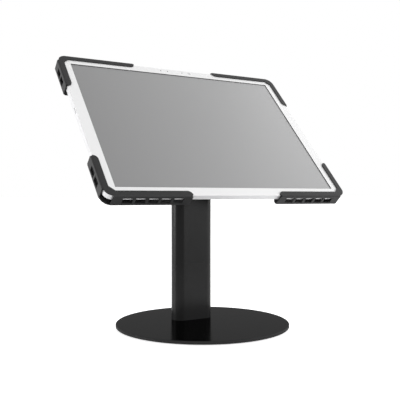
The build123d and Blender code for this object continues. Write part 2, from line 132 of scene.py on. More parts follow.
# The head's own frame: X to the right, Y up the screen, Z out of its glass
TURN = next(joint for joint in frame["joints"] if joint["name"] == "head_turn")
PIVOT = np.array(TURN["pos_m"])
SCREEN_NORMAL = np.array(TURN["axis"])
HEAD_ORIGIN = PIVOT + SCREEN_TO_PIVOT * MM * SCREEN_NORMAL
HEAD_AXES = np.array([(1.0, 0.0, 0.0), np.cross(SCREEN_NORMAL, (1.0, 0.0, 0.0)), SCREEN_NORMAL])
HEAD_TILT = math.atan2(-SCREEN_NORMAL[1], SCREEN_NORMAL[2])
CORNER_DIAGONAL = math.atan2(BRACKET_HALF_HEIGHT, BRACKET_HALF_WIDTH)


# Sizes and colours that a user would change


def colour(name, description, default):
    """A colour property."""
    return FloatVectorProperty(
        name=name, description=description, default=default, subtype="COLOR", min=0.0, max=1.0
    )


def factor(name, description, default):
    """A property from 0 to 1."""
    return FloatProperty(
        name=name, description=description, default=default, subtype="FACTOR", min=0.0, max=1.0
    )


def length(name, description, millimetres):
    """A length property, written here in millimetres."""
    default = millimetres * MM
    return FloatProperty(name=name, description=description, default=default, unit="LENGTH")


def angle(name, description, degrees):
    """An angle property, written here in degrees."""
    default = math.radians(degrees)
    return FloatProperty(name=name, description=description, default=default, unit="ROTATION")


def watts(name, description, default):
    """A lamp's power."""
    return FloatProperty(name=name, description=description, default=default, unit="POWER")


def steps(name, description, default):
    """A count of faces round a piece."""
    return IntProperty(name=name, description=description, default=default, min=24)


class MetalFinishes(bpy.types.PropertyGroup):
    """Colours and gloss of the stand's metal."""

    coat_dark: colour(
        "Powder coat, dark", "Darker mottle on brackets and head plates", (0.0245, 0.0245, 0.0250)
    )
    coat_light: colour(
        "Powder coat, light", "Lighter mottle on brackets and head plates", (0.0315, 0.0315, 0.0321)
    )
    coat_gloss: factor("Powder coat gloss", "Specular level of the powder coat", 0.13)
    coat_roughness: factor("Powder coat roughness", "Roughness of the powder coat", 0.42)
    base_dark: colour("Base, dark", "Darker mottle on the round base", (0.0013, 0.0013, 0.0014))
    base_light: colour("Base, light", "Lighter mottle on the round base", (0.0021, 0.0021, 0.0022))
    # Painted light: a paler colour on the base's rim, standing in for the sheen it catches
    base_rim_painted_light: colour("Base, rim", "Thinner coat on the base's turned rim", (0.026, 0.026, 0.0265))
    base_gloss: factor("Base gloss", "Weight of the base's clear coat", 0.115)
    base_roughness: factor("Base roughness", "Roughness of the base's clear coat", 0.17)
    column_dark: colour("Column, dark", "Between the draw lines", (0.0026, 0.0026, 0.0027))
    column_light: colour("Column, light", "Along the draw lines", (0.0036, 0.0036, 0.0037))
    # Painted light: a paler colour at the column's foot, standing in for the light it catches there
    column_foot_painted_light: colour("Column, foot", "A little dust at the foot", (0.018, 0.018, 0.0183))
    column_gloss: factor("Column gloss", "Specular level of the column", 0.125)
    column_roughness: factor("Column roughness", "Roughness of the column", 0.22)
    casting: colour("Casting", "Paint on the hinge casting", (0.024, 0.024, 0.0245))
    oxide: colour("Black oxide", "Oxide on the screws, bolts and nuts", (0.050, 0.050, 0.053))
    steel: colour("Spring steel", "Coned washers, swivel washer and stop pin", (0.42, 0.42, 0.43))


class TabletFinishes(bpy.types.PropertyGroup):
    """Colours of the tablet, outside and in."""

    shell: colour("Shell", "Bead-blasted aluminium", (0.74, 0.74, 0.75))
    key_painted_shadow_line: colour("Key line", "Shadow line round the keys", (0.03, 0.03, 0.03))
    bezel: colour("Bezel", "White border of the front glass", (0.82, 0.82, 0.822))
    # Painted shade: the dark line stands in for the shade on the walls of the screen's recess
    opening: colour("Opening edge", "Dark line round the screen's opening", (0.02, 0.02, 0.022))
    # The grey is the screen's own; its change from left to right is painted light
    screen_left: colour("Screen, left", "Grey at the screen's left edge", (0.258, 0.258, 0.260))
    screen_right: colour("Screen, right", "Grey at the screen's right edge", (0.388, 0.388, 0.391))
    lens: colour("Lens", "Glass of the rear camera", (0.008, 0.009, 0.012))
    lens_tint: colour("Lens tint", "Coating on the middle of the rear lens", (0.015, 0.02, 0.05))
    eye: colour("Front camera", "Ring round the camera in the bezel", (0.74, 0.74, 0.75))
    sensor: colour("Front sensors", "Small sensors beside the front camera", (0.22, 0.22, 0.225))
    # Painted shade and light: the pouch is darker in the wrinkles' hollows and lighter on their
    # ridges
    pouch_hollow_painted_shade: colour("Pouch, dark", "Hollows of the battery's foil pouch", (0.06, 0.06, 0.07))
    pouch_ridge_painted_light: colour("Pouch, light", "Ridges of the battery's foil pouch", (0.11, 0.11, 0.12))
    board_light: colour("Board, light", "Solder mask over the tracks", (0.02, 0.14, 0.07))
    board_dark: colour("Board, dark", "Solder mask between the tracks", (0.01, 0.08, 0.04))


class SoftSizes(bpy.types.PropertyGroup):
    """Colours of the foam, rubber and nylon, and the foam's shape."""

    foam: colour("Pad foam", "Soft foam behind the tablet's corners", (0.020, 0.020, 0.021))
    foot: colour("Foot foam", "Thin foam under the base", (0.015, 0.015, 0.016))
    rubber: colour("Rubber", "Cable grommets", (0.018, 0.018, 0.019))
    nylon: colour("Nylon", "Friction washers", (0.58, 0.57, 0.52))
    pad_squareness: factor("Pad squareness", "How boxy the pads are; lower is boxier", 0.24)
    pad_dimple: length("Pad dimple", "Depth of the foam's uneven surface", 0.12)
    foot_edge: length("Foot edge", "Rounding of the foot foam's rim", 0.6)
    around: steps("Steps round a pad", "Faces round each foam pad", 96)


class BoltSizes(bpy.types.PropertyGroup):
    """Threads of the tilt and swivel bolts."""

    tilt_pitch: length("Tilt thread pitch", "Pitch of the tilt bolt's thread", 1.25)
    swivel_pitch: length("Swivel thread pitch", "Pitch of the swivel bolt's thread", 1.5)
    thread_depth: factor("Thread depth", "Depth of the threads as a share of their pitch", 0.54)
    around: steps("Steps round a bolt", "Faces round each bolt", 72)


class StudioSettings(bpy.types.PropertyGroup):
    """The floor, the lights and the camera."""

    floor: colour("Floor", "Pale floor", (0.93, 0.93, 0.93))
    floor_glow: factor("Floor glow", "Light added to the floor where it is seen", 0.70)
    sky: factor("Sky", "Strength of the world's soft light", 0.60)
    key: watts("Key", "Power of the softbox in front on the right", 112.0)
    side: watts("Side", "Power of the softbox behind on the left", 88.0)
    right: watts("Right", "Power of the softbox up on the right", 22.0)
    lens: FloatProperty(
        name="Lens", description="Focal length in millimetres", default=56.27, unit="CAMERA"
    )
    camera_at: FloatVectorProperty(
        name="Camera",
        description="Where the camera stands",
        default=(-0.37564, -0.64097, 0.15319),
        unit="LENGTH",
    )
    camera_tilt: angle("Camera tilt", "Angle up from looking straight down", 89.69)
    camera_turn: angle("Camera turn", "Heading of the camera", -30.154)


# Surfaces


def on_head(points):
    """Points of the head's frame, in millimetres, as points of the shared frame in metres:
    the head's origin plus each coordinate along its axis."""
    return HEAD_ORIGIN + (np.asarray(points, float) * MM) @ HEAD_AXES


def closed_surface(name, rings, body, finish):
    """A closed mesh from a grid of rings, whose first and last rings have shrunk to one
    point each: quads join each ring to the next, and a fan of triangles closes each pole."""
    count, around = rings.shape[:2]
    inner = rings[1:-1].reshape(-1, 3)
    points = np.concatenate([inner, rings[0, :1], rings[-1, :1]])
    row, step = np.meshgrid(np.arange(count - 3), np.arange(around), indexing="ij")
    following = (step + 1) % around
    here = row * around
    above = (row + 1) * around
    quads = np.stack([here + step, here + following, above + following, above + step], -1)
    step = np.arange(around)
    following = (step + 1) % around
    last = (count - 3) * around
    first_pole = np.full(around, len(inner))
    first_fan = np.stack([first_pole, following, step], -1)
    last_fan = np.stack([first_pole + 1, last + step, last + following], -1)
    mesh = bpy.data.meshes.new(name)
    faces = [*quads.reshape(-1, 4).tolist(), *first_fan.tolist(), *last_fan.tolist()]
    mesh.from_pydata(points.tolist(), [], faces)
    mesh.validate()
    mesh.shade_smooth()
    piece = bpy.data.objects.new(name, mesh)
    bpy.context.scene.collection.objects.link(piece)
    mesh.materials.append(finish)
    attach(piece, body)
    return piece


def power(values, exponent):
    """A signed power, which keeps the side of zero that each value is on."""
    return np.sign(values) * np.abs(values) ** exponent


def along_tongue(points, side, rise):
    """Points laid along a corner bracket's tongue: X and Y are turned about Z by the angle
    of the corner's diagonal."""
    bearing = math.atan2(rise * math.sin(CORNER_DIAGONAL), side * math.cos(CORNER_DIAGONAL))
    x = points[..., 0] * math.cos(bearing) - points[..., 1] * math.sin(bearing)
    y = points[..., 0] * math.sin(bearing) + points[..., 1] * math.cos(bearing)
    return np.stack([x, y, points[..., 2]], -1)


def foam_block(half_sizes, squareness, dimple, around):
    """A rounded foam block round the origin, in millimetres. It is a superellipsoid: each
    coordinate is a half size times powers of the cosines and sines of two angles, and a
    low power makes it boxy. Crossed sine waves then sink its surface by none to all of
    the dimple's depth."""
    plan_squareness = squareness * 1.3
    wave_x, wave_y, wave_z, wave_start = 2.1, 2.3, 3.7, 0.7
    rise = np.linspace(-math.pi / 2, math.pi / 2, around // 2 + 1)[:, None]
    turn = np.linspace(0, FULL_TURN, around, endpoint=False)[None, :]
    rise = rise + 0 * turn
    turn = turn + 0 * rise
    flat = power(np.cos(rise), squareness)
    x = flat * power(np.cos(turn), plan_squareness)
    y = flat * power(np.sin(turn), plan_squareness)
    z = power(np.sin(rise), squareness)
    points = np.stack([x, y, z], -1) * half_sizes
    waves = np.sin(wave_x * points[..., 0] + wave_start) * np.sin(wave_y * points[..., 1])
    waves = waves + np.sin(wave_z * points[..., 2])
    depth = dimple / MM * (0.5 + 0.25 * waves)[..., None]
    points = points * (1 - depth / np.array(half_sizes))
    points[0] = points[0].mean(axis=0)
    points[-1] = points[-1].mean(axis=0)
    return points


def revolved(profile, around):
    """Turns a half profile of radius and height about Z: each point becomes a ring whose x
    and y are the radius times the cosine and sine of the angle."""
    turn = np.linspace(0, FULL_TURN, around, endpoint=False)
    radius, height = np.array(profile, float).T
    x = radius[:, None] * np.cos(turn)
    y = radius[:, None] * np.sin(turn)
    return np.stack([x, y, height[:, None] + 0 * x], -1)


def socket_screw(shank_r, head_r, head_height, shank_length, pitch, depth_share, around):
    """A bolt whose head is seated at height 0 with its shank pointing down Z, as rings from
    the socket's floor over the crowned head and down the shank to its end. The socket's
    radius is that of a hexagon, half its flats over the cosine of the angle from the
    nearest flat. The crown's radius and height follow the sine and cosine of a quarter
    turn. On the thread the radius falls by a triangle wave of height over the pitch plus
    the turn, which fades in over the first pitch, and by a taper over the last."""
    turn = np.linspace(0, FULL_TURN, around, endpoint=False)
    circle = 0 * turn
    off_flat = (turn + math.pi / 6) % (math.pi / 3) - math.pi / 6
    hexagon = shank_r * SOCKET_WIDTH / 2 / np.cos(off_flat)
    floor = head_height * SOCKET_FLOOR
    rows = [(0 * hexagon, floor), (hexagon * SOCKET_FOOT, floor), (hexagon, floor + FLOOR_FILLET)]
    rows += [(hexagon, head_height - BROKEN_EDGE), (hexagon + BROKEN_EDGE, head_height)]
    crown_start = head_r * CROWN_START
    for share in np.linspace(0, 1, CROWN_RINGS):
        sweep = share * math.pi / 2
        radius = crown_start + (head_r - crown_start) * math.sin(sweep)
        height = head_height * (CROWN_FOOT + (1 - CROWN_FOOT) * math.cos(sweep))
        rows.append((radius + circle, height))
    rows += [(head_r + circle, BROKEN_EDGE), (head_r - BROKEN_EDGE + circle, 0.0)]
    rows.append((shank_r + circle, 0.0))
    thread_length = min(shank_length * THREAD_SHARE, LONGEST_THREAD)
    thread_start = thread_length - shank_length
    rows.append((shank_r + circle, thread_start))
    depth = depth_share * pitch
    ring_count = int(thread_length / pitch * RINGS_PER_PITCH)
    for height in np.linspace(thread_start, -shank_length, ring_count):
        wave = ((height / pitch + turn / FULL_TURN) % 1.0) * 2 - 1
        fade = min(1.0, (thread_start - height) / pitch)
        taper = END_TAPER * depth * max(0.0, 1 - (height + shank_length) / pitch)
        cut = THREAD_CUT * depth * fade * (1 - np.abs(wave))
        rows.append((shank_r - cut - taper, height))
    rows += [(rows[-1][0] * END_FACE, -shank_length), (circle, -shank_length)]
    radius = np.array([row[0] for row in rows])
    height = np.array([row[1] for row in rows])[:, None] + 0 * radius
    return np.stack([radius * np.cos(turn), radius * np.sin(turn), height], -1)


def turned_about_y(points):
    """Points given a quarter turn about Y, so that what ran along Z runs along X, as the
    tilt pivot does."""
    return np.stack([points[..., 2], points[..., 1], -points[..., 0]], -1)


# Finishes


class Finish:
    """A material being built: a Principled shader, with patterns on Object coordinates, or
    on the head's own frame for pieces of the tablet. Scales are per metre."""

    def __init__(self, name, sockets, on_tilted_head=False):
        self.material = bpy.data.materials.new(name)
        self.material.use_nodes = True
        self.tree = self.material.node_tree
        self.shader = self.tree.nodes["Principled BSDF"]
        for socket, value in sockets.items():
            self.shader.inputs[socket].default_value = value
        self.point = self.node("ShaderNodeTexCoord").outputs["Object"]
        if on_tilted_head:
            mapping = self.node("ShaderNodeMapping", vector_type="TEXTURE")
            mapping.inputs["Location"].default_value = HEAD_ORIGIN
            mapping.inputs["Rotation"].default_value = (HEAD_TILT, 0, 0)
            self.join(self.point, mapping.inputs["Vector"])
            self.point = mapping.outputs["Vector"]

    def node(self, kind, **settings):
        """A new node with its settings."""
        made = self.tree.nodes.new(kind)
        for name, value in settings.items():
            setattr(made, name, value)
        return made

    def join(self, output, socket):
        """Links an output to a socket."""
        self.tree.links.new(output, socket)

    def stretched(self, x, y, z):
        """Object coordinates scaled along each axis."""
        mapping = self.node("ShaderNodeMapping")
        mapping.inputs["Scale"].default_value = (x, y, z)
        self.join(self.point, mapping.inputs["Vector"])
        return mapping.outputs["Vector"]

    def noise(self, scale, detail=2.0, point=None):
        """Cloudy noise."""
        made = self.node("ShaderNodeTexNoise")
        made.inputs["Scale"].default_value = scale
        made.inputs["Detail"].default_value = detail
        self.join(point or self.point, made.inputs["Vector"])
        return made.outputs["Fac"]

    def cells(self, scale):
        """Distance from the middles of random cells."""
        made = self.node("ShaderNodeTexVoronoi")
        made.inputs["Scale"].default_value = scale
        self.join(self.point, made.inputs["Vector"])
        return made.outputs["Distance"]

    def axis(self, name):
        """One coordinate of the point."""
        split = self.node("ShaderNodeSeparateXYZ")
        self.join(self.point, split.inputs[0])
        return split.outputs[name]

    def maths(self, operation, first, second=None):
        """One step of arithmetic on numbers or outputs."""
        made = self.node("ShaderNodeMath", operation=operation)
        for socket, value in zip(made.inputs, (first, second)):
            if isinstance(value, (int, float)):
                socket.default_value = value
            elif value is not None:
                self.join(value, socket)
        return made.outputs[0]

    def distance_from(self, x, y):
        """How far a point is from a line along Z: the root of its squared offsets."""
        across = self.maths("SUBTRACT", self.axis("X"), x)
        along = self.maths("SUBTRACT", self.axis("Y"), y)
        across_squared = self.maths("MULTIPLY", across, across)
        along_squared = self.maths("MULTIPLY", along, along)
        return self.maths("SQRT", self.maths("ADD", across_squared, along_squared))

    def past(self, name, half_width):
        """How far a coordinate is past a half width, on either side."""
        return self.maths("SUBTRACT", self.maths("ABSOLUTE", self.axis(name)), half_width)

    def scaled(self, value, low, high, new_low=0.0, new_high=1.0):
        """A value's range from low to high, carried over to a new range."""
        made = self.node("ShaderNodeMapRange")
        for socket, number in zip(list(made.inputs)[1:5], (low, high, new_low, new_high)):
            socket.default_value = number
        self.join(value, made.inputs["Value"])
        return made.outputs["Result"]

    def mix(self, share, first, second):
        """A colour between two, each a colour or another pattern's output."""
        made = self.node("ShaderNodeMix", data_type="RGBA")
        self.join(share, made.inputs["Factor"])
        for socket, value in ((made.inputs[6], first), (made.inputs[7], second)):
            if hasattr(value, "links"):
                self.join(value, socket)
            else:
                socket.default_value = (*value, 1.0)
        return made.outputs[2]

    def mottle(self, pattern, spread, first, second):
        """A colour that goes from one to another as a pattern goes over its spread."""
        return self.mix(self.scaled(pattern, *spread), first, second)

    def shaded(self, colour_output, share):
        """A colour multiplied by a number."""
        made = self.node("ShaderNodeVectorMath", operation="SCALE")
        self.join(colour_output, made.inputs[0])
        self.join(share, made.inputs["Scale"])
        return made.outputs["Vector"]

    def colour(self, output):
        """Gives the shader its colour."""
        self.join(output, self.shader.inputs["Base Color"])

    def roughness(self, pattern, low, high):
        """Gives the shader a roughness that goes from low to high with a pattern."""
        self.join(self.scaled(pattern, *WIDE, low, high), self.shader.inputs["Roughness"])

    def bump(self, height, distance):
        """Gives the shader a relief as deep as a distance."""
        made = self.node("ShaderNodeBump")
        made.inputs["Strength"].default_value = 1.0
        made.inputs["Distance"].default_value = distance
        self.join(height, made.inputs["Height"])
        self.join(made.outputs["Normal"], self.shader.inputs["Normal"])

    def give(self, *names):
        """Puts the material on CAD nodes."""
        for name in names:
            mesh = frame["nodes"][name].data
            mesh.materials.clear()
            mesh.materials.append(self.material)


def times(base, *shares):
    """A colour times one share, or each channel times its own, and at most white."""
    shares = shares if len(shares) == 3 else shares * 3
    return [min(1.0, channel * share) for channel, share in zip(base, shares)]


def powder_coat(name, dark, light, gloss, roughness, peel=20 * MICRON):
    """Powder coat: a mottled colour, fine orange peel and uneven roughness."""
    finish = Finish(name, {"Specular IOR Level": gloss})
    finish.colour(finish.mottle(finish.noise(scale=900.0, detail=3.0), NARROW, dark, light))
    finish.roughness(finish.noise(scale=60.0, detail=3.0), roughness - 0.03, roughness + 0.03)
    finish.bump(finish.noise(scale=700.0, detail=1.0), peel)
    return finish


def satin_coat(name, dark, light, rim, gloss, roughness):
    """Smooth satin coat on a turned disc: a faint mottle, and a paler rim of painted light,
    standing in for the sheen the rim catches, which starts where the distance from the disc's axis
    passes its flat top."""
    coat = {"Specular IOR Level": 0.0, "Coat Weight": gloss, "Coat Roughness": roughness}
    finish = Finish(name, coat)
    flat = finish.mottle(finish.noise(scale=900.0), NARROW, dark, light)
    rim_edge = ((BASE_RADIUS - 0.8) * MM, (BASE_RADIUS - 0.3) * MM)
    # Painted light on the rim: a paler colour for the sheen it catches
    on_painted_light_rim = finish.scaled(finish.distance_from(0.0, 0.0), *rim_edge)
    finish.colour(finish.mix(on_painted_light_rim, flat, rim))
    return finish


def drawn_aluminium(name, dark, light, painted_foot_light, gloss, roughness):
    """Anodised extrusion: fine lines along its length, from long stretched noise, and
    painted light: a paler colour towards its foot, standing in for the light it catches there."""
    finish = Finish(name, {"Specular IOR Level": gloss})
    along = finish.stretched(2200.0, 2200.0, 12.0)
    lines = finish.noise(scale=1.0, detail=3.0, point=along)
    drawn = finish.mottle(lines, WIDE, dark, light)
    # Painted light: the colour turns paler towards the foot, fully below 5 mm and not at all above
    # 75 mm
    painted_light_full, painted_light_none = 5 * MM, 75 * MM
    painted_light = finish.scaled(finish.axis("Z"), painted_light_full, painted_light_none, 1.0, 0.0)
    finish.colour(finish.mix(painted_light, drawn, painted_foot_light))
    finish.roughness(lines, roughness - 0.03, roughness + 0.04)
    finish.bump(lines, 4 * MICRON)
    return finish


def black_oxide(name, base, roughness=0.36):
    """Oiled black oxide on steel, with a faint warm cast in patches."""
    finish = Finish(name, {"Metallic": 0.85})
    warm = times(base, 1.25, 1.16, 1.05)
    finish.colour(finish.mottle(finish.noise(scale=260.0, detail=4.0), NARROW, base, warm))
    finish.roughness(finish.noise(scale=900.0), roughness - 0.06, roughness + 0.06)
    finish.bump(finish.noise(scale=2400.0, detail=1.0), 6 * MICRON)
    return finish


def spring_steel(name, base):
    """Ground spring steel: fine scratches from stretched noise."""
    finish = Finish(name, {"Metallic": 1.0})
    across = finish.stretched(5200.0, 700.0, 5200.0)
    scratches = finish.noise(scale=1.0, detail=4.0, point=across)
    finish.colour(finish.mottle(scratches, WIDE, times(base, 0.7), base))
    finish.roughness(scratches, 0.24, 0.40)
    finish.bump(scratches, 3 * MICRON)
    return finish


def soft_foam(name, base, cell):
    """Closed-cell foam: a skin of small round cells, with painted shade in the hollows."""
    skin = {"Specular IOR Level": 0.2, "Sheen Weight": 0.15, "Sheen Roughness": 0.5}
    finish = Finish(name, skin)
    cells = finish.cells(scale=1.0 / cell)
    painted_hollow_shade, cell_edge = times(base, 0.45), (0.1, 0.6)
    # Painted shade: darker in the hollows between the cells
    finish.colour(finish.mottle(cells, cell_edge, base, painted_hollow_shade))
    finish.roughness(finish.noise(scale=300.0), 0.78, 0.92)
    cell_depth = cell * 0.35
    finish.bump(finish.maths("MULTIPLY", cells, -1.0), cell_depth)
    return finish


def moulded(name, base, roughness, speckle, gloss=0.5):
    """Moulded rubber or plastic: a faint speckle and a fine even grain."""
    finish = Finish(name, {"Specular IOR Level": gloss})
    grain = finish.noise(scale=1500.0)
    finish.colour(finish.mottle(grain, NARROW, base, times(base, speckle)))
    finish.roughness(finish.noise(scale=120.0, detail=3.0), roughness - 0.05, roughness + 0.05)
    finish.bump(grain, 8 * MICRON)
    return finish


# Operators


class STAND_OT_metal(bpy.types.Operator):
    """Finishes the base, column, hinge, head plates and fasteners"""

    bl_idname = "tablet_stand.metal"
    bl_label = "Metal finishes"

    def execute(self, context):
        look = context.scene.tablet_stand_metal
        brackets = [f"corner_bracket_{corner}" for corner in CORNERS]
        clamp_screws = [f"clamp_screws_{corner}" for corner in CORNERS]
        coat = powder_coat(
            "black_powder_coat",
            look.coat_dark,
            look.coat_light,
            look.coat_gloss,
            look.coat_roughness,
        )
        coat.give("back_plate", "tilt_bracket", *brackets)
        base = satin_coat(
            "base_satin_coat",
            look.base_dark,
            look.base_light,
            look.base_rim_painted_light,
            look.base_gloss,
            look.base_roughness,
        )
        base.give("base_plate")
        column = drawn_aluminium(
            "column_anodised",
            look.column_dark,
            look.column_light,
            look.column_foot_painted_light,
            look.column_gloss,
            look.column_roughness,
        )
        column.give("column")
        casting = powder_coat(
            "casting_paint",
            look.casting,
            times(look.casting, 1.5),
            gloss=0.3,
            roughness=0.45,
            peel=50 * MICRON,
        )
        casting.give("hinge_post")
        oxide = black_oxide("screw_black_oxide", look.oxide)
        oxide.give("base_screws", "post_screws", "tilt_nut", "swivel_nut", *clamp_screws)
        steel = spring_steel("ground_spring_steel", look.steel)
        steel.give("disc_springs", "swivel_spring", "swivel_rear_washer", "stop_pin")
        return {"FINISHED"}


class STAND_OT_bolts(bpy.types.Operator):
    """Makes the tilt bolt and the swivel bolt, with sockets and threads"""

    bl_idname = "tablet_stand.bolts"
    bl_label = "Tilt and swivel bolts"

    def execute(self, context):
        sizes = context.scene.tablet_stand_bolts
        look = context.scene.tablet_stand_metal
        finish = black_oxide("bolt_black_oxide", look.oxide, 0.30).material
        thread = {"depth_share": sizes.thread_depth, "around": sizes.around}
        low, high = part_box("tilt_bolt")
        seat = high.x / MM - TILT_BOLT["head_height"]
        rings = socket_screw(
            **TILT_BOLT, shank_length=seat - low.x / MM, pitch=sizes.tilt_pitch / MM, **thread
        )
        rings[..., 2] += seat
        points = turned_about_y(rings) * MM + PIVOT
        bolt = closed_surface(
            "tilt_bolt_threaded", points[::-1], "tilt_part", finish
        )
        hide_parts("tilt_bolt")
        rings = socket_screw(**SWIVEL_BOLT, pitch=sizes.swivel_pitch / MM, **thread)
        rings[..., 2] += SWIVEL_SEAT
        points = on_head(rings[::-1])
        bolt = closed_surface("swivel_bolt_threaded", points, "head", finish)
        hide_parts("swivel_bolt")
        return {"FINISHED"}


class STAND_OT_soft(bpy.types.Operator):
    """Makes the foam pads and the foot foam, and finishes the rubber and nylon"""

    bl_idname = "tablet_stand.soft"
    bl_label = "Foam, rubber and nylon"

    def execute(self, context):
        sizes = context.scene.tablet_stand_soft
        foam = soft_foam("pad_foam_cells", sizes.foam, PAD_CELL * MM).material
        block = foam_block(PAD_HALF_SIZES, sizes.pad_squareness, sizes.pad_dimple, sizes.around)
        for corner in CORNERS:
            side = 1 if corner.endswith("right") else -1
            rise = 1 if corner.startswith("top") else -1
            points = on_head(along_tongue(block + PAD_PLACE, side, rise))
            pad = closed_surface(f"foam_pad_{corner}", points, f"corner_{corner}", foam)
            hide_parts(f"corner_pad_{corner}")
        foot = self.foot(sizes)
        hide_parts("base_pad")
        rubber = moulded("grommet_rubber", sizes.rubber, roughness=0.62, speckle=1.5, gloss=0.3)
        rubber.give("lower_cable_grommet", "upper_cable_grommet")
        nylon = moulded("natural_nylon", sizes.nylon, roughness=0.42, speckle=1.08)
        nylon.give("friction_washers", "swivel_front_washer")
        return {"FINISHED"}

    def foot(self, sizes):
        """A thin disc with a rounded rim: the profile runs from the middle of the underside
        out, round a quarter circle and back, and is turned about Z. Two slots let a driver
        through to the base's screws."""
        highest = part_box("base_pad")[1]
        outer, thick, edge = highest.x / MM, highest.z / MM, sizes.foot_edge / MM
        sweep = np.linspace(0, math.pi / 2, QUARTER_POINTS)
        rim = np.stack([outer - edge + edge * np.sin(sweep), edge - edge * np.cos(sweep)], -1)
        under = np.array([(radius, 0.0) for radius in FOOT_RADII])
        upper = np.array([(outer, thick)])
        top = np.array([(radius, thick) for radius in reversed(FOOT_RADII)])
        rings = revolved(np.concatenate([under, rim, upper, top]), FOOT_STEPS) * MM
        finish = soft_foam("foot_foam_cells", sizes.foot, FOOT_CELL * MM).material
        foot = closed_surface("foot_foam", rings, "stand", finish)
        for x in (-SLOT_X, SLOT_X):
            self.cut_slot(foot, (x * MM, SLOT_Y * MM, 0.0), thick * MM)
        return foot

    def cut_slot(self, foot, middle, thick):
        """Cuts a slot through the foot and applies it. The cutter is a turned disc whose two
        halves are moved apart along Y, and points between the halves stay."""
        radius = SLOT_RADIUS * MM
        profile = [(0.0, -thick), (radius, -thick), (radius, 2 * thick), (0.0, 2 * thick)]
        rings = revolved(profile, SLOT_STEPS)
        sides = np.sign(np.round(rings[1:-1, :, 1], decimals=9))
        rings[1:-1, :, 1] += SLOT_STRETCH * MM * sides
        rings += middle
        material = foot.data.materials[0]
        cutter = closed_surface("foot_cutter", rings, "stand", material)
        boolean = foot.modifiers.new("hole", "BOOLEAN")
        boolean.object = cutter
        boolean.operation = "DIFFERENCE"
        boolean.solver = "EXACT"
        graph = bpy.context.evaluated_depsgraph_get()
        cut = bpy.data.meshes.new_from_object(foot.evaluated_get(graph))
        foot.modifiers.clear()
        foot.data = cut
        bpy.data.objects.remove(cutter)


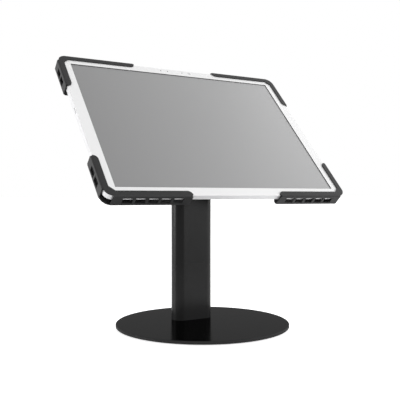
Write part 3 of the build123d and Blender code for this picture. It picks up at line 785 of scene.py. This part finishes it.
class STAND_OT_tablet(bpy.types.Operator):
    """Finishes the tablet's shell, bezel, screen and inside, and makes the camera glass"""

    bl_idname = "tablet_stand.tablet"
    bl_label = "Tablet"

    def execute(self, context):
        look = context.scene.tablet_stand_tablet
        self.shell(look)
        self.keys(look)
        self.bezel(look)
        self.screen(look)
        self.eyes(look)
        self.rear_lens(look)
        self.inside(look)
        return {"FINISHED"}

    def shell(self, look):
        """Bead-blasted aluminium: a fine even grain."""
        finish = Finish("blasted_aluminium", ALUMINIUM)
        grain = finish.noise(scale=3800.0)
        finish.colour(finish.mottle(grain, WIDE, times(look.shell, 0.94), look.shell))
        finish.roughness(grain, 0.38, 0.48)
        finish.bump(grain, 4 * MICRON)
        finish.give("tablet_shell", "rear_camera_ring")

    def keys(self, look):
        """The same aluminium, and a painted shadow line where each key comes out of the shell: the
        larger of how far a point is past the shell's side and top gives its height."""
        finish = Finish("key_aluminium", ALUMINIUM, on_tilted_head=True)
        past_side = finish.past("X", TABLET_WIDTH / 2 * MM)
        past_top = finish.maths("SUBTRACT", finish.axis("Y"), TABLET_HEIGHT / 2 * MM)
        height = finish.maths("MAXIMUM", past_side, past_top)
        line_edge = (0.18 * MM, 0.28 * MM)
        # Painted shadow: dark where the key's flank rises out of the shell
        finish.colour(finish.mottle(height, line_edge, look.key_painted_shadow_line, look.shell))
        finish.roughness(finish.noise(scale=3800.0), 0.34, 0.44)
        finish.give("power_key", "volume_up_key", "volume_down_key")

    def bezel(self, look):
        """White under glass, with painted shade on the walls of the screen's opening, a dark line
        where those
        walls are in shade: the larger of how far a point is past the opening's side and end marks
        the border."""
        glass = {"Roughness": 0.20, "Specular IOR Level": 0.22}
        finish = Finish("white_front_glass", glass, on_tilted_head=True)
        past_side = finish.past("X", OPENING_WIDTH / 2 * MM)
        past_end = finish.past("Y", OPENING_HEIGHT / 2 * MM)
        past = finish.maths("MAXIMUM", past_side, past_end)
        line_edge = (0.04 * MM, 0.12 * MM)
        cloud = finish.noise(scale=14.0)
        white = finish.mottle(cloud, WIDE, look.bezel, times(look.bezel, 1.015))
        # Painted shade on the opening's walls, inside the border
        finish.colour(finish.mottle(past, line_edge, look.opening, white))
        finish.give("tablet_bezel")

    def screen(self, look):
        """The screen's own grey under clear glass, with painted light: it grows lighter from left
        to right as the light falls on it.
        """
        panel = {"Specular IOR Level": 0.2, "Roughness": 0.29}
        glass = {"Coat Weight": 0.05, "Coat Roughness": 0.20}
        finish = Finish("screen_grey", {**panel, **glass}, on_tilted_head=True)
        width = (-140 * MM, 140 * MM)
        # Painted light: the grey grows lighter from left to right
        grey_with_painted_light = finish.mottle(finish.axis("X"), width, look.screen_left, look.screen_right)
        grain = finish.scaled(finish.noise(scale=5000.0, detail=1.0), *WIDE, 0.985, 1.015)
        finish.colour(finish.shaded(grey_with_painted_light, grain))
        finish.give("display_panel")

    def eyes(self, look):
        """The camera and the sensors in the bezel: dark glass, and round the camera's
        pupil a pale ring, by the distance from its middle."""
        finish = Finish("front_eye_glass", {"Roughness": 0.08}, on_tilted_head=True)
        grain = finish.scaled(finish.noise(scale=900.0), *WIDE, 0.9, 1.0)
        x, y = FRONT_CAMERA
        radius = finish.distance_from(x * MM, y * MM)
        pupil_edge = (0.7 * MM, 0.9 * MM)
        ring_edge = (1.7 * MM, 1.9 * MM)
        outside_pupil = finish.scaled(radius, *pupil_edge)
        inside_ring = finish.scaled(radius, *ring_edge, 1.0, 0.0)
        ring = finish.maths("MULTIPLY", outside_pupil, inside_ring)
        finish.colour(finish.shaded(finish.mix(ring, look.sensor, look.eye), grain))
        finish.give("front_camera")

    def rear_lens(self, look):
        """The rear lens as one turned surface: a domed glass, a stepped baffle and a sunk
        rim. The dome's radius and height follow the cosine and sine of a quarter turn,
        and the rest is a list along the radius."""
        x, y = REAR_CAMERA
        glass = {"Roughness": 0.05, "Coat Weight": 1.0}
        finish = Finish("lens_glass", glass, on_tilted_head=True)
        radius = finish.distance_from(x * MM, y * MM)
        tint_edge = (1.0 * MM, 2.4 * MM)
        finish.colour(finish.mottle(radius, tint_edge, look.lens_tint, look.lens))
        sweep = np.linspace(math.pi / 2, 0, QUARTER_POINTS)
        dome = np.stack([DOME_RADIUS * np.cos(sweep), DOME_FOOT - DOME_HEIGHT * np.sin(sweep)], -1)
        profile = np.concatenate([dome, LENS_BAFFLE, LENS_BACK])
        rings = revolved(profile, LENS_STEPS) + (x, y, 0.0)
        lens = closed_surface(
            "rear_lens_stack", on_head(rings), "head", finish.material
        )
        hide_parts("rear_camera_lens")

    def inside(self, look):
        """The battery's wrinkled pouch, with painted shade in the wrinkles' hollows and painted
        light on their ridges, and the circuit board.
        """
        pouch = Finish("battery_pouch_foil", {"Metallic": 0.6})
        wrinkles = pouch.noise(scale=90.0, detail=4.0)
        # Painted shade in the wrinkles' hollows and painted light on their ridges
        pouch.colour(pouch.mix(wrinkles, look.pouch_hollow_painted_shade, look.pouch_ridge_painted_light))
        pouch.roughness(wrinkles, 0.35, 0.5)
        pouch.bump(wrinkles, 200 * MICRON)
        pouch.give("tablet_battery")
        board = Finish("board_green", {"Specular IOR Level": 0.4})
        tracks = board.cells(scale=420.0)
        track_edge = (0.2, 0.5)
        board.colour(board.mottle(tracks, track_edge, look.board_light, look.board_dark))
        board.roughness(tracks, 0.3, 0.5)
        board.give("tablet_board")


class STAND_OT_studio(bpy.types.Operator):
    """Sets the floor, the world, three softboxes and the camera"""

    bl_idname = "tablet_stand.studio"
    bl_label = "Studio"

    def execute(self, context):
        look = context.scene.tablet_stand_studio
        self.floor(look)
        self.world(look)
        self.softbox(
            "front_right_softbox",
            place=(2.65, -3.0, 1.35),
            target=(0.0, 0.0, 1.35),
            width=4.8,
            height=2.7,
            energy=look.key,
        )
        self.softbox(
            "back_left_softbox",
            place=(-3.72, 1.45, 0.7),
            target=(0.0, 0.0, 0.7),
            width=2.5,
            height=1.3,
            energy=look.side,
        )
        self.softbox(
            "right_softbox",
            place=(3.05, -0.05, 2.57),
            target=(0.0, 0.0, 0.2),
            width=2.4,
            height=2.4,
            energy=look.right,
        )
        self.camera(look)
        context.scene.view_settings.view_transform = "Standard"
        return {"FINISHED"}

    def seen_straight(self, tree):
        """One where a ray comes from the camera, or off gloss or through glass."""
        path = tree.nodes.new("ShaderNodeLightPath")
        total = path.outputs["Is Camera Ray"]
        for name in ("Is Glossy Ray", "Is Transmission Ray"):
            larger = tree.nodes.new("ShaderNodeMath")
            larger.operation = "MAXIMUM"
            tree.links.new(total, larger.inputs[0])
            tree.links.new(path.outputs[name], larger.inputs[1])
            total = larger.outputs[0]
        return total

    def floor(self, look):
        """A pale floor that glows a little where it is seen, so that it comes out white."""
        half = 60.0
        corners = [(-half, -half, 0), (half, -half, 0), (half, half, 0), (-half, half, 0)]
        mesh = bpy.data.meshes.new("floor")
        mesh.from_pydata(corners, [], [(0, 1, 2, 3)])
        floor = bpy.data.objects.new("floor", mesh)
        bpy.context.scene.collection.objects.link(floor)
        material = bpy.data.materials.new("floor_white")
        material.use_nodes = True
        tree = material.node_tree
        shader = tree.nodes["Principled BSDF"]
        shader.inputs["Base Color"].default_value = (*look.floor, 1.0)
        shader.inputs["Roughness"].default_value = 0.35
        shader.inputs["Specular IOR Level"].default_value = 0.5
        shader.inputs["Emission Color"].default_value = (1.0, 1.0, 1.0, 1.0)
        glow = tree.nodes.new("ShaderNodeMath")
        glow.operation = "MULTIPLY"
        tree.links.new(self.seen_straight(tree), glow.inputs[0])
        glow.inputs[1].default_value = look.floor_glow
        tree.links.new(glow.outputs[0], shader.inputs["Emission Strength"])
        mesh.materials.append(material)

    def world(self, look):
        """White where it is seen, and a softer white as a light."""
        world = bpy.data.worlds.new("studio_world")
        bpy.context.scene.world = world
        world.use_nodes = True
        tree = world.node_tree
        background = tree.nodes["Background"]
        background.inputs["Color"].default_value = (1.0, 1.0, 1.0, 1.0)
        strength = tree.nodes.new("ShaderNodeMapRange")
        strength.inputs["To Min"].default_value = look.sky
        strength.inputs["To Max"].default_value = 1.0
        tree.links.new(self.seen_straight(tree), strength.inputs["Value"])
        tree.links.new(strength.outputs["Result"], background.inputs["Strength"])

    def softbox(self, name, place, target, width, height, energy):
        """A large area lamp that faces its target."""
        light = bpy.data.lights.new(name, "AREA")
        light.shape = "RECTANGLE"
        light.size = width
        light.size_y = height
        light.energy = energy
        lamp = bpy.data.objects.new(name, light)
        lamp.location = place
        lamp.rotation_euler = (Vector(target) - Vector(place)).to_track_quat("-Z", "Y").to_euler()
        bpy.context.scene.collection.objects.link(lamp)

    def camera(self, look):
        """The camera, at the photographed viewing angle."""
        data = bpy.data.cameras.new("camera")
        data.lens = look.lens
        data.clip_start = 0.01
        data.clip_end = 200.0
        camera = bpy.data.objects.new("camera", data)
        camera.location = look.camera_at
        camera.rotation_euler = (look.camera_tilt, 0.0, look.camera_turn)
        bpy.context.scene.collection.objects.link(camera)
        bpy.context.scene.camera = camera


class STAND_PT_panel(bpy.types.Panel):
    """Lists the operators in the 3D view's sidebar"""

    bl_idname = "STAND_PT_panel"
    bl_label = "Tablet desk stand"
    bl_space_type = "VIEW_3D"
    bl_region_type = "UI"
    bl_category = "Tablet stand"

    def draw(self, context):
        for operator in OPERATORS:
            self.layout.operator(operator.bl_idname)
        for name in GROUPS:
            group = getattr(context.scene, name)
            box = self.layout.box()
            for key in group.__annotations__:
                box.prop(group, key)


OPERATORS = (STAND_OT_metal, STAND_OT_bolts, STAND_OT_soft, STAND_OT_tablet, STAND_OT_studio)
GROUPS = {
    "tablet_stand_metal": MetalFinishes,
    "tablet_stand_tablet": TabletFinishes,
    "tablet_stand_soft": SoftSizes,
    "tablet_stand_bolts": BoltSizes,
    "tablet_stand_studio": StudioSettings,
}


def register():
    """Registers the classes and gives the scene its settings."""
    for group in GROUPS.values():
        bpy.utils.register_class(group)
    for operator in OPERATORS:
        bpy.utils.register_class(operator)
    bpy.utils.register_class(STAND_PT_panel)
    for name, group in GROUPS.items():
        setattr(bpy.types.Scene, name, PointerProperty(type=group))


def unregister():
    """Takes the settings and the classes away again."""
    for name in GROUPS:
        delattr(bpy.types.Scene, name)
    bpy.utils.unregister_class(STAND_PT_panel)
    for operator in reversed(OPERATORS):
        bpy.utils.unregister_class(operator)
    for group in reversed(list(GROUPS.values())):
        bpy.utils.unregister_class(group)


def main():
    """Builds every piece in order."""
    register()
    bpy.ops.tablet_stand.studio()
    bpy.ops.tablet_stand.metal()
    bpy.ops.tablet_stand.bolts()
    bpy.ops.tablet_stand.soft()
    bpy.ops.tablet_stand.tablet()


if __name__ == "__main__":
    main()
